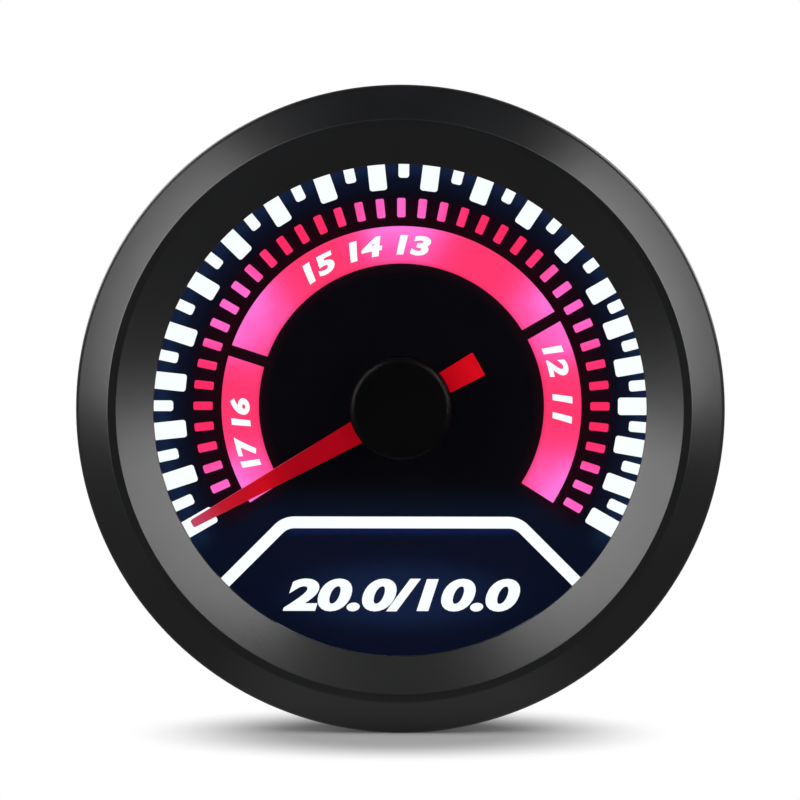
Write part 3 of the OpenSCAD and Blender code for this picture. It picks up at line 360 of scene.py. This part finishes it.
def pointer_red():
    """Moulded red pointer: its plastic carries light from the hub and from the marks below."""
    s = Shader("pointer_red")
    r = from_axis(s)
    cloud = s.spread(s.noise(2.2, 3))
    blade = s.colours(s.math("DIVIDE", r, COLOUR_R), [
        (0.20, "#81000a"), (0.46, "#75000b"), (0.52, "#8d0410"), (0.60, "#ad0816"),
        (0.68, "#9f0f1e"), (0.76, "#a71626"), (0.81, "#ab2d46"), (0.88, "#b04464")])
    tail = s.blend(s.ramp(r, 5.2, 7.6), "#96000c", "#b60612")
    # Below 0 on the tail's side of the axis
    rest = math.radians(REST_ANGLE)
    along = s.vector("DOT_PRODUCT", s.place, (-math.sin(rest), 0.0, -math.cos(rest)))
    emission = s.blend(s.math("LESS_THAN", along, 0.0), blade, tail)
    # The blade's side faces catch the light of the red marks that it passes over
    geometry = s.tree.nodes.new("ShaderNodeNewGeometry")
    facing = s.math("ABSOLUTE", s.part(geometry.outputs["Normal"], "Y"))
    side = s.ramp(facing, 0.85, 0.5, smooth=True)
    side = s.math("MULTIPLY", side, s.ramp(r, 8.0, 13.0, 0.0, 0.5))
    emission = s.blend(side, emission, "#c06a86")
    s.surface(s.blend(cloud, "#8c0210", "#980314"), s.ramp(cloud, 0.0, 1.0, 0.46, 0.54),
              s.bump(s.noise(0.3, 3), 0.003), emission, Specular_IOR_Level=0.05)
    return s.material


def windings():
    """Enamelled copper wire, turn beside turn along the coil, with painted shade in the grooves
    between turns and a painted highlight on each crown.
    """
    s = Shader("winding_copper")
    wire_r = 0.06
    turns = s.math("PINGPONG", s.part(s.place, "Z"), wire_r)
    # Painted shade and highlight: the colour darkens into each groove between turns and lightens on
    # each turn's crown
    colour = s.blend(s.ramp(turns, 0.0, wire_r), "#6e2f12", "#c8733a")
    s.surface(colour, s.spread(s.noise(0.5), 0.28, 0.4), s.bump(turns, 0.05),
              Metallic=0.9)
    return s.material


def magnet():
    """Sintered magnet: dull grey with fine specks."""
    s = Shader("magnet_grey")
    specks = s.noise(0.12, 5, 0.7)
    s.surface(s.blend(s.ramp(specks, 0.35, 0.65), "#2c2c31", "#4a4a50"),
              s.spread(specks, 0.5, 0.65), s.bump(specks, 0.004), Metallic=0.3)
    return s.material


def lamp(name, body, window):
    """Lamp: a pale moulded body that takes its window's colour towards the front."""
    s = Shader(name)
    body_y, window_y = 9.3, 8.9
    front = s.ramp(s.part(s.place, "Y"), body_y, window_y, smooth=True)
    mottle = s.spread(s.noise(0.3, 3))
    colour = s.blend(front, body, window)
    colour = s.blend(s.math("MULTIPLY", mottle, 0.2), colour, "#d8d2c0")
    s.surface(colour, s.ramp(mottle, 0.0, 1.0, 0.35, 0.5), s.bump(mottle, 0.004))
    return s.material


# By slot. Blender may add a number to a material's own name, so the keys are written out
MATERIALS = {
    "bezel_black": satin_black(),
    "lens_smoke": smoked_lens(),
    "gasket_rubber": rubber("gasket_rubber", "#0b0b0c", "#161617"),
    "shroud_black": plastic("shroud_black", "#060607", "#0a0a0c", 0.6, specular=0.15),
    "dial_black": dial_print(),
    "window_white": lit_white(),
    "window_red": lit_red(),
    "diffuser_white": plastic("diffuser_white", "#dfe3e6", "#eff1f3", 0.5),
    "reflector_white": plastic("reflector_white", "#e4e4e0", "#f3f3f0", 0.45),
    "board_green": board(),
    "lamp_white": lamp("lamp_white", "#efe9d6", "#e8d060"),
    "lamp_red": lamp("lamp_red", "#efe9e2", "#d8a0a0"),
    "chip_black": plastic("chip_black", "#141416", "#1e1e21", 0.5,
                          grain_mm=0.15, grain_depth=0.01),
    "screw_zinc": metal("screw_zinc", "#83868c", "#b4b7bd", 0.3, streak_mm=0.2),
    "stud_zinc": metal("stud_zinc", "#8d9096", "#bfc2c7", 0.28, drawn=6, streak_mm=0.25),
    "motor_cream": plastic("motor_cream", "#d3cdbc", "#e6e1d2", 0.42),
    "core_steel": metal("core_steel", "#74777c", "#9a9da2", 0.35, drawn=8),
    "bobbin_green": plastic("bobbin_green", "#225a3e", "#2f7350", 0.4),
    "winding_copper": windings(),
    "magnet_grey": magnet(),
    "gear_natural": plastic("gear_natural", "#e0d9c6", "#f0eadb", 0.35),
    "shaft_steel": metal("shaft_steel", "#9a9da3", "#cbced3", 0.2, drawn=10),
    "bush_brass": metal("bush_brass", "#9c7327", "#cfa24c", 0.25),
    "pin_gold": metal("pin_gold", "#b08f3c", "#dcc070", 0.24, drawn=6),
    "pointer_red": pointer_red(),
    "hub_black": plastic("hub_black", "#020203", "#040406", 0.34,
                         grain_mm=0.25, grain_depth=0.002, specular=0.15),
    "capacitor_can": metal("capacitor_can", "#8f9297", "#c3c6ca", 0.3, drawn=12),
    "case_black": plastic("case_black", "#17181b", "#202124", 0.5,
                          grain_mm=0.35, grain_depth=0.012, specular=0.4),
    "socket_black": plastic("socket_black", "#141517", "#1d1e21", 0.42, grain_depth=0.008),
}


def dress(target, slot_name):
    """Gives a node or a piece the material of a slot."""
    target.data.materials.clear()
    target.data.materials.append(MATERIALS[slot_name])


for entry in frame["record"]["subparts"]:
    dress(frame["nodes"][entry["node"]], entry["material_slot"])


# Meshes

def add_piece(name, mesh, body, slot_name, smooth_angle=None):
    """Makes a mesh into a piece that rides on a body."""
    piece = bpy.data.objects.new(name, mesh)
    bpy.context.scene.collection.objects.link(piece)
    dress(piece, slot_name)
    if smooth_angle is not None:
        smooth(piece, smooth_angle)
    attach(piece, body)
    return piece


def smooth(piece, angle):
    """Shades smooth, except over edges sharper than the angle in degrees."""
    bm = bmesh.new()
    bm.from_mesh(piece.data)
    limit = math.radians(angle)
    for face in bm.faces:
        face.smooth = True
    for edge in bm.edges:
        edge.smooth = len(edge.link_faces) == 2 and edge.calc_face_angle(0.0) < limit
    bm.to_mesh(piece.data)
    bm.free()


def mesh_from(name, verts, faces, weld=0.0):
    """Mesh with its normals outwards, and with vertices nearer than the weld merged."""
    mesh = bpy.data.meshes.new(name)
    mesh.from_pydata(verts, [], faces)
    bm = bmesh.new()
    bm.from_mesh(mesh)
    if weld:
        bmesh.ops.remove_doubles(bm, verts=bm.verts, dist=weld)
    bmesh.ops.recalc_face_normals(bm, faces=bm.faces)
    bm.to_mesh(mesh)
    bm.free()
    return mesh


def lathe(name, profile, steps):
    """Closed ring from a closed profile of (radius, y) points."""
    n = len(profile)
    verts = [(r * math.cos(2 * math.pi * i / steps), y, r * math.sin(2 * math.pi * i / steps))
             for i in range(steps) for r, y in profile]
    faces = [(i * n + j, i * n + (j + 1) % n,
              (i + 1) % steps * n + (j + 1) % n, (i + 1) % steps * n + j)
             for i in range(steps) for j in range(n)]
    return mesh_from(name, verts, faces)


def round_profile(corners, steps=10):
    """Closed profile through (radius, y, rounding) corners, each rounded by an arc."""
    points = []
    for i, (r, y, rounding) in enumerate(corners):
        here = Vector((r, y))
        if rounding == 0:
            points.append((r, y))
            continue
        before = (Vector(corners[i - 1][:2]) - here).normalized()
        after = (Vector(corners[(i + 1) % len(corners)][:2]) - here).normalized()
        half = before.angle(after) / 2
        centre = here + (before + after).normalized() * rounding / math.sin(half)
        start = here + before * rounding / math.tan(half) - centre
        end = here + after * rounding / math.tan(half) - centre
        turn = math.pi - 2 * half
        for step in range(steps + 1):
            share = step / steps
            weight_a = math.sin((1 - share) * turn) / math.sin(turn)
            weight_b = math.sin(share * turn) / math.sin(turn)
            points.append(tuple(centre + start * weight_a + end * weight_b))
    return points


def bezel():
    """The bezel ring, turned finely, in place of its CAD node."""
    back_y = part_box("bezel_ring")[1].y
    skirt_bore_r, skirt_round = 28.5 * MM, 0.15 * MM
    slope_start_y, slope_round = -3.0 * MM, 1.0 * MM
    ridge_outer_r, ridge_inner_r, ridge_y, ridge_round = 26.9 * MM, 26.15 * MM, -5.7 * MM, 0.25 * MM
    aperture_r, lip_y, lip_round = 22.75 * MM, -3.9 * MM, 0.12 * MM
    pocket_r, pocket_y, flange_y = 25.3 * MM, -3.3 * MM, -1.6 * MM
    steps, smooth_angle = 288, 40
    profile = round_profile([
        (skirt_bore_r, back_y, 0),
        (BEZEL_R, back_y, skirt_round),
        (BEZEL_R, slope_start_y, slope_round),
        (ridge_outer_r, ridge_y, ridge_round),
        (ridge_inner_r, ridge_y, ridge_round),
        (aperture_r, lip_y, lip_round),
        (aperture_r, pocket_y, 0),
        (pocket_r, pocket_y, 0),
        (pocket_r, flange_y, 0),
        (skirt_bore_r, flange_y, 0),
    ])
    piece = add_piece("bezel_body", lathe("bezel_body", profile, steps), "housing",
                      "bezel_black", smooth_angle)
    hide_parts("bezel_ring")


bezel()


def dial_point(angle, r):
    """x and z on the dial at a dial angle and distance from the axis."""
    a = math.radians(angle)
    return -r * math.sin(a), -r * math.cos(a)


def text_mesh(name, text, slant, spacing):
    """Flat mesh of a line of heavy slanted text, in units of the type's size."""
    heavier, curve_steps = 0.045, 6
    curve = bpy.data.curves.new(name, "FONT")
    curve.body = text
    curve.shear = slant
    curve.offset = heavier
    curve.space_character = spacing
    curve.resolution_u = curve_steps
    curve.align_x = "CENTER"
    holder = bpy.data.objects.new(name, curve)
    bpy.context.scene.collection.objects.link(holder)
    bpy.context.view_layer.update()
    depsgraph = bpy.context.evaluated_depsgraph_get()
    mesh = bpy.data.meshes.new_from_object(holder.evaluated_get(depsgraph))
    bpy.data.objects.remove(holder)
    return mesh


def divide_long_edges(bm, longest, rounds):
    """Halves the edges over a length, so that straight strokes can bend, then triangulates."""
    for _ in range(rounds):
        long_edges = [e for e in bm.edges if e.calc_length() > longest]
        if not long_edges:
            break
        bmesh.ops.subdivide_edges(bm, edges=long_edges, cuts=1)
    bmesh.ops.triangulate(bm, faces=bm.faces)


def printed_text(name, text, height, width, place, slant=0.15, spacing=1.0):
    """Heavy slanted numbers as a thin raised print, fitted to a height and a width.

    place turns a point (across, up) of the text into (x, z) on the dial.
    """
    print_lift, print_sink = 0.03 * MM, 0.02 * MM
    weld, longest_edge, rounds = 1e-5, 0.12, 3
    mesh = text_mesh(name, text, slant, spacing)
    bm = bmesh.new()
    bm.from_mesh(mesh)
    bmesh.ops.remove_doubles(bm, verts=bm.verts, dist=weld)
    divide_long_edges(bm, longest_edge, rounds)
    low_x, low_y = (min(v.co[axis] for v in bm.verts) for axis in (0, 1))
    high_x, high_y = (max(v.co[axis] for v in bm.verts) for axis in (0, 1))
    for vert in bm.verts:
        across = ((vert.co.x - low_x) / (high_x - low_x) - 0.5) * width
        up = ((vert.co.y - low_y) / (high_y - low_y) - 0.5) * height
        x, z = place(across, up)
        vert.co = Vector((x, DIAL_Y - print_lift, z))
    bmesh.ops.recalc_face_normals(bm, faces=bm.faces)
    grown = bmesh.ops.extrude_face_region(bm, geom=list(bm.faces))
    for item in grown["geom"]:
        if isinstance(item, bmesh.types.BMVert):
            item.co.y = DIAL_Y + print_sink
    bmesh.ops.recalc_face_normals(bm, faces=bm.faces)
    bm.to_mesh(mesh)
    bm.free()
    add_piece(name, mesh, "housing", "window_white")


def on_arc(middle_angle, r):
    """Places text along the dial's arc, tops outwards, reading clockwise."""
    return lambda across, up: dial_point(middle_angle + math.degrees(across / r), r + up)


def on_panel(height):
    """Places text level in the lower panel."""
    return lambda across, up: (across, height + up)


def dial_numbers():
    """The numbers on the three bands and in the lower panel."""
    band_h, band_r, range_h = 1.86 * MM, 15.06 * MM, 3.07 * MM
    for name, text, width, middle_angle, spacing in (
        ("lean_numbers", "17 16", 6.7 * MM, 80, 1.0),
        ("optimal_numbers", "15 14 13", 12.4 * MM, 166.7, 1.0),
        ("rich_numbers", "12 11", 7.4 * MM, 261.8, 1.12),
    ):
        printed_text(name, text, band_h, width, on_arc(middle_angle, band_r), spacing=spacing)
    printed_text("range_numbers", "20.0/10.0", range_h, 22.2 * MM, on_panel(RANGE_NUMBERS_Z),
                 slant=0.22)


dial_numbers()


def stud_rows(thread_y, end_y, around):
    """Rings of (radius, y) points along one stud, from its head to the end of its thread."""
    stud_r, pitch, thread_depth, end_chamfer = 2.0 * MM, 0.7 * MM, 0.38 * MM, 0.5 * MM
    neck_r, neck_y = 2.4 * MM, 30 * MM
    head_r, head_y, head_ease = 3.4 * MM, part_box("mounting_studs")[0].y, 0.15 * MM
    rows_per_turn = 8
    # Shares of half a pitch that the flat of the root and the flank take up
    root_flat, flank = 0.12, 0.76
    # Share of the thread's depth that its first turn starts from
    run_in = 0.35
    chamfer_slope = 0.9

    head = [(0.0, head_y), (head_r - head_ease, head_y), (head_r, head_y + head_ease),
            (head_r, neck_y), (neck_r, neck_y), (neck_r, thread_y)]
    table = [[point] * around for point in head]
    rows = round((end_y - thread_y) / pitch * rows_per_turn)
    for row in range(rows + 1):
        y = thread_y + (end_y - thread_y) * row / rows
        end_limit = stud_r - max(0, end_chamfer - (end_y - y)) * chamfer_slope
        started = (y - thread_y) / pitch
        depth_share = 1 if y - thread_y > pitch else run_in + (1 - run_in) * started
        line = []
        for i in range(around):
            phase = (y / pitch - i / around) % 1
            groove = 1 - abs(2 * phase - 1)
            shape = min(max((groove - root_flat) / flank, 0), 1)
            r = stud_r - thread_depth * (1 - shape) * depth_share
            line.append((min(r, end_limit), y))
        table.append(line)
    table.append([(0.0, end_y)] * around)
    return table


def threaded_studs():
    """The mounting studs with a real thread, in place of their CAD node."""
    around, from_middle, weld, smooth_angle = 36, 15 * MM, 1e-7, 50
    thread_y, end_y = 32 * MM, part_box("mounting_studs")[1].y
    table = stud_rows(thread_y, end_y, around)
    verts, faces = [], []
    for side in (-1, 1):
        base = len(verts)
        for line in table:
            for i, (r, y) in enumerate(line):
                a = 2 * math.pi * i / around
                verts.append((side * from_middle + r * math.cos(a), y, r * math.sin(a)))
        for row in range(len(table) - 1):
            for i in range(around):
                a, b = base + row * around + i, base + row * around + (i + 1) % around
                faces.append((a, b, b + around, a + around))
    mesh = mesh_from("threaded_studs", verts, faces, weld)
    piece = add_piece("threaded_studs", mesh, "housing", "stud_zinc", smooth_angle)
    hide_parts("mounting_studs")


threaded_studs()


def cover_mouldings():
    """Stiffening bead and short ribs moulded on the back of the rear cover."""
    cover_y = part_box("rear_cover")[1].y
    proud, sunk = 0.4 * MM, 0.2 * MM
    outer_r, inner_r, ease = 19.3 * MM, 18.4 * MM, 0.12 * MM
    rib_start_r, rib_w, rib_height_share = 12.5 * MM, 0.9 * MM, 0.9
    rib_angles = (-60, -35, 35, 60, 120, 145, 215, 240)
    steps, ease_steps, smooth_angle = 180, 3, 40
    bead = lathe("cover_mouldings", round_profile([
        (inner_r, cover_y - sunk, 0),
        (inner_r, cover_y + proud, ease),
        (outer_r, cover_y + proud, ease),
        (outer_r, cover_y - sunk, 0),
    ], ease_steps), steps)
    bm = bmesh.new()
    bm.from_mesh(bead)
    for angle in rib_angles:
        turn = Matrix.Rotation(math.radians(angle), 4, "Y")
        reach = inner_r + ease - rib_start_r
        rib_h = proud * rib_height_share + sunk
        for vert in bmesh.ops.create_cube(bm, size=1.0)["verts"]:
            across, along, up = vert.co
            at = Vector((rib_start_r + (along + 0.5) * reach,
                         cover_y - sunk + (up + 0.5) * rib_h, across * rib_w))
            vert.co = turn @ at
    bmesh.ops.recalc_face_normals(bm, faces=bm.faces)
    bm.to_mesh(bead)
    bm.free()
    add_piece("cover_mouldings", bead, "housing", "case_black", smooth_angle)


cover_mouldings()


def soften(node_name, width_mm):
    """Breaks the sharp edges of a CAD node, without touching its own mesh."""
    weld_distance, segments, sharp_angle = 2e-6, 2, 35
    node = frame["nodes"][node_name]
    weld = node.modifiers.new("weld", "WELD")
    weld.merge_threshold = weld_distance
    bevel = node.modifiers.new("bevel", "BEVEL")
    bevel.width = width_mm * MM
    bevel.segments = segments
    bevel.limit_method = "ANGLE"
    bevel.angle_limit = math.radians(sharp_angle)
    bevel.harden_normals = True


for soft_node, edge_mm in (
    ("pointer_blade", 0.12), ("rear_cover", 0.25), ("case_can", 0.15),
    ("rear_cover_screws", 0.2), ("connector_housing", 0.2), ("dial_shroud", 0.1),
    ("connector_pins", 0.12),
):
    soften(soft_node, edge_mm)


# Floor, lights and camera

def studio_white():
    """Floor material: a grey patch by the gauge's foot, a painted shadow that also takes the
    gauge's real shadow, and white beyond.

    The white shows to the camera, through glass and, dimmed, in reflections, and lights nothing.
    """
    s = Shader("studio_white")
    # Painted shadow: round the foot the floor is grey instead of white, and the grey also takes the
    # real shadow of the gauge
    shadow_patch_middle, shadow_patch_radii, fade_from = (0.0, -3.0, 0.0), (26, 24), 0.35
    painted_shadow_grey, shadow_patch_lift, mirrored_share = (0.4, 0.4, 0.4, 1.0), 0.05, 0.15
    centred = s.vector("SUBTRACT", s.place, shadow_patch_middle)
    shadow_patch_share = s.vector("LENGTH", s.vector(
        "MULTIPLY", centred, (1 / shadow_patch_radii[0], 1 / shadow_patch_radii[1], 0.0)))
    away = s.ramp(shadow_patch_share, fade_from, 1.0, smooth=True)
    path = s.tree.nodes.new("ShaderNodeLightPath")
    seen = s.math("MAXIMUM", path.outputs["Is Camera Ray"], s.math(
        "MAXIMUM", path.outputs["Is Glossy Ray"], path.outputs["Is Transmission Ray"]))
    mirrored = s.ramp(path.outputs["Is Glossy Ray"], 0.0, 1.0, 1.0, mirrored_share)
    diffuse = s.tree.nodes.new("ShaderNodeBsdfDiffuse")
    diffuse.inputs["Color"].default_value = painted_shadow_grey
    glow = s.tree.nodes.new("ShaderNodeEmission")
    s.link(mirrored, glow.inputs["Strength"])
    lift = s.tree.nodes.new("ShaderNodeEmission")
    s.link(s.math("MULTIPLY", s.math("MULTIPLY", seen, mirrored), shadow_patch_lift),
           lift.inputs["Strength"])
    shadow_patch_floor = s.tree.nodes.new("ShaderNodeAddShader")
    s.link(diffuse.outputs[0], shadow_patch_floor.inputs[0])
    s.link(lift.outputs[0], shadow_patch_floor.inputs[1])
    mixed = s.tree.nodes.new("ShaderNodeMixShader")
    s.link(s.math("MULTIPLY", away, seen), mixed.inputs[0])
    s.link(shadow_patch_floor.outputs[0], mixed.inputs[1])
    s.link(glow.outputs[0], mixed.inputs[2])
    s.link(mixed.outputs[0], s.output.inputs["Surface"])
    return s.material


def studio_floor():
    """White floor that curves up into a backdrop behind the gauge."""
    floor_z = -BEZEL_R
    half_w, near, far, top = 2.4, -1.6, 1.2, 1.8
    sweep_r, sweep_steps = 0.5, 12
    closer_rows = (-0.3, -0.1, 0.1, 0.3)
    line = [(y, floor_z) for y in (near, *closer_rows, far)]
    for step in range(1, sweep_steps + 1):
        a = math.pi / 2 * step / sweep_steps
        line.append((far + sweep_r * math.sin(a), floor_z + sweep_r * (1 - math.cos(a))))
    line.append((far + sweep_r, top))
    verts = [(x, y, z) for y, z in line for x in (-half_w, half_w)]
    faces = [(2 * i, 2 * i + 1, 2 * i + 3, 2 * i + 2) for i in range(len(line) - 1)]
    mesh = bpy.data.meshes.new("studio_floor")
    mesh.from_pydata(verts, [], faces)
    for polygon in mesh.polygons:
        polygon.use_smooth = True
    mesh.materials.append(studio_white())
    floor = bpy.data.objects.new("studio_floor", mesh)
    bpy.context.scene.collection.objects.link(floor)


studio_floor()


def softbox(name, direction, distance, size, radiance, lean=0.0):
    """Area light of a given size and radiance that faces the gauge, turned in its own plane."""
    width, height = size
    lamp_data = bpy.data.lights.new(name, "AREA")
    lamp_data.shape = "RECTANGLE"
    lamp_data.size, lamp_data.size_y = width, height
    lamp_data.energy = radiance * math.pi * width * height
    box = bpy.data.objects.new(name, lamp_data)
    bpy.context.scene.collection.objects.link(box)
    towards = Vector(direction).normalized()
    box.location = towards * distance
    box.rotation_mode = "QUATERNION"
    turn = Quaternion((0, 0, 1), math.radians(lean))
    box.rotation_quaternion = towards.to_track_quat("Z", "Y") @ turn


def studio_lights():
    """Two tall softboxes beside the gauge, a weak one above, two behind, and a dim room."""
    off_axis, above = math.radians(63), math.radians(14)
    side_distance, side_size, side_radiance, side_lean = 0.6, (0.46, 1.0), 4.1, 8
    top_direction, top_size, top_radiance = (0, -0.55, 0.84), (0.5, 0.3), 0.25
    rear_direction, rear_size, rear_radiance = (0.6, 0.75, 0.4), (0.4, 0.4), 2.2
    far_distance, room_strength = 0.7, 0.07

    for side, name in ((-1, "left_softbox"), (1, "right_softbox")):
        direction = (side * math.sin(off_axis) * math.cos(above), -math.cos(off_axis),
                     math.sin(off_axis) * math.sin(above))
        softbox(name, direction, side_distance, side_size, side_radiance, side * side_lean)
    softbox("top_softbox", top_direction, far_distance, top_size, top_radiance)
    for side, name in ((-1, "rear_left_softbox"), (1, "rear_right_softbox")):
        direction = (side * rear_direction[0], *rear_direction[1:])
        softbox(name, direction, far_distance, rear_size, rear_radiance)

    world = bpy.data.worlds.new("studio_world")
    world.use_nodes = True
    background = world.node_tree.nodes["Background"]
    background.inputs["Color"].default_value = (1, 1, 1, 1)
    background.inputs["Strength"].default_value = room_strength
    bpy.context.scene.world = world


studio_lights()


def photo_camera():
    """Camera of the photograph: a long lens, a little above the gauge's axis."""
    azimuth, elevation, distance = math.radians(1.2), math.radians(3.5), 0.6
    frame_width, aim = 73.9 * MM, Vector((0, -3 * MM, 0.93 * MM))
    sensor_mm = 36
    data = bpy.data.cameras.new("photo_camera")
    data.sensor_width = sensor_mm
    data.lens = sensor_mm * distance / frame_width
    data.clip_start, data.clip_end = 0.01, 20
    camera = bpy.data.objects.new("photo_camera", data)
    bpy.context.scene.collection.objects.link(camera)
    back = Vector((math.sin(azimuth) * math.cos(elevation),
                   -math.cos(azimuth) * math.cos(elevation), math.sin(elevation)))
    camera.location = aim + back * distance
    camera.rotation_mode = "QUATERNION"
    camera.rotation_quaternion = (-back).to_track_quat("-Z", "Y")
    bpy.context.scene.camera = camera


photo_camera()
bpy.context.scene.view_settings.view_transform = "Standard"
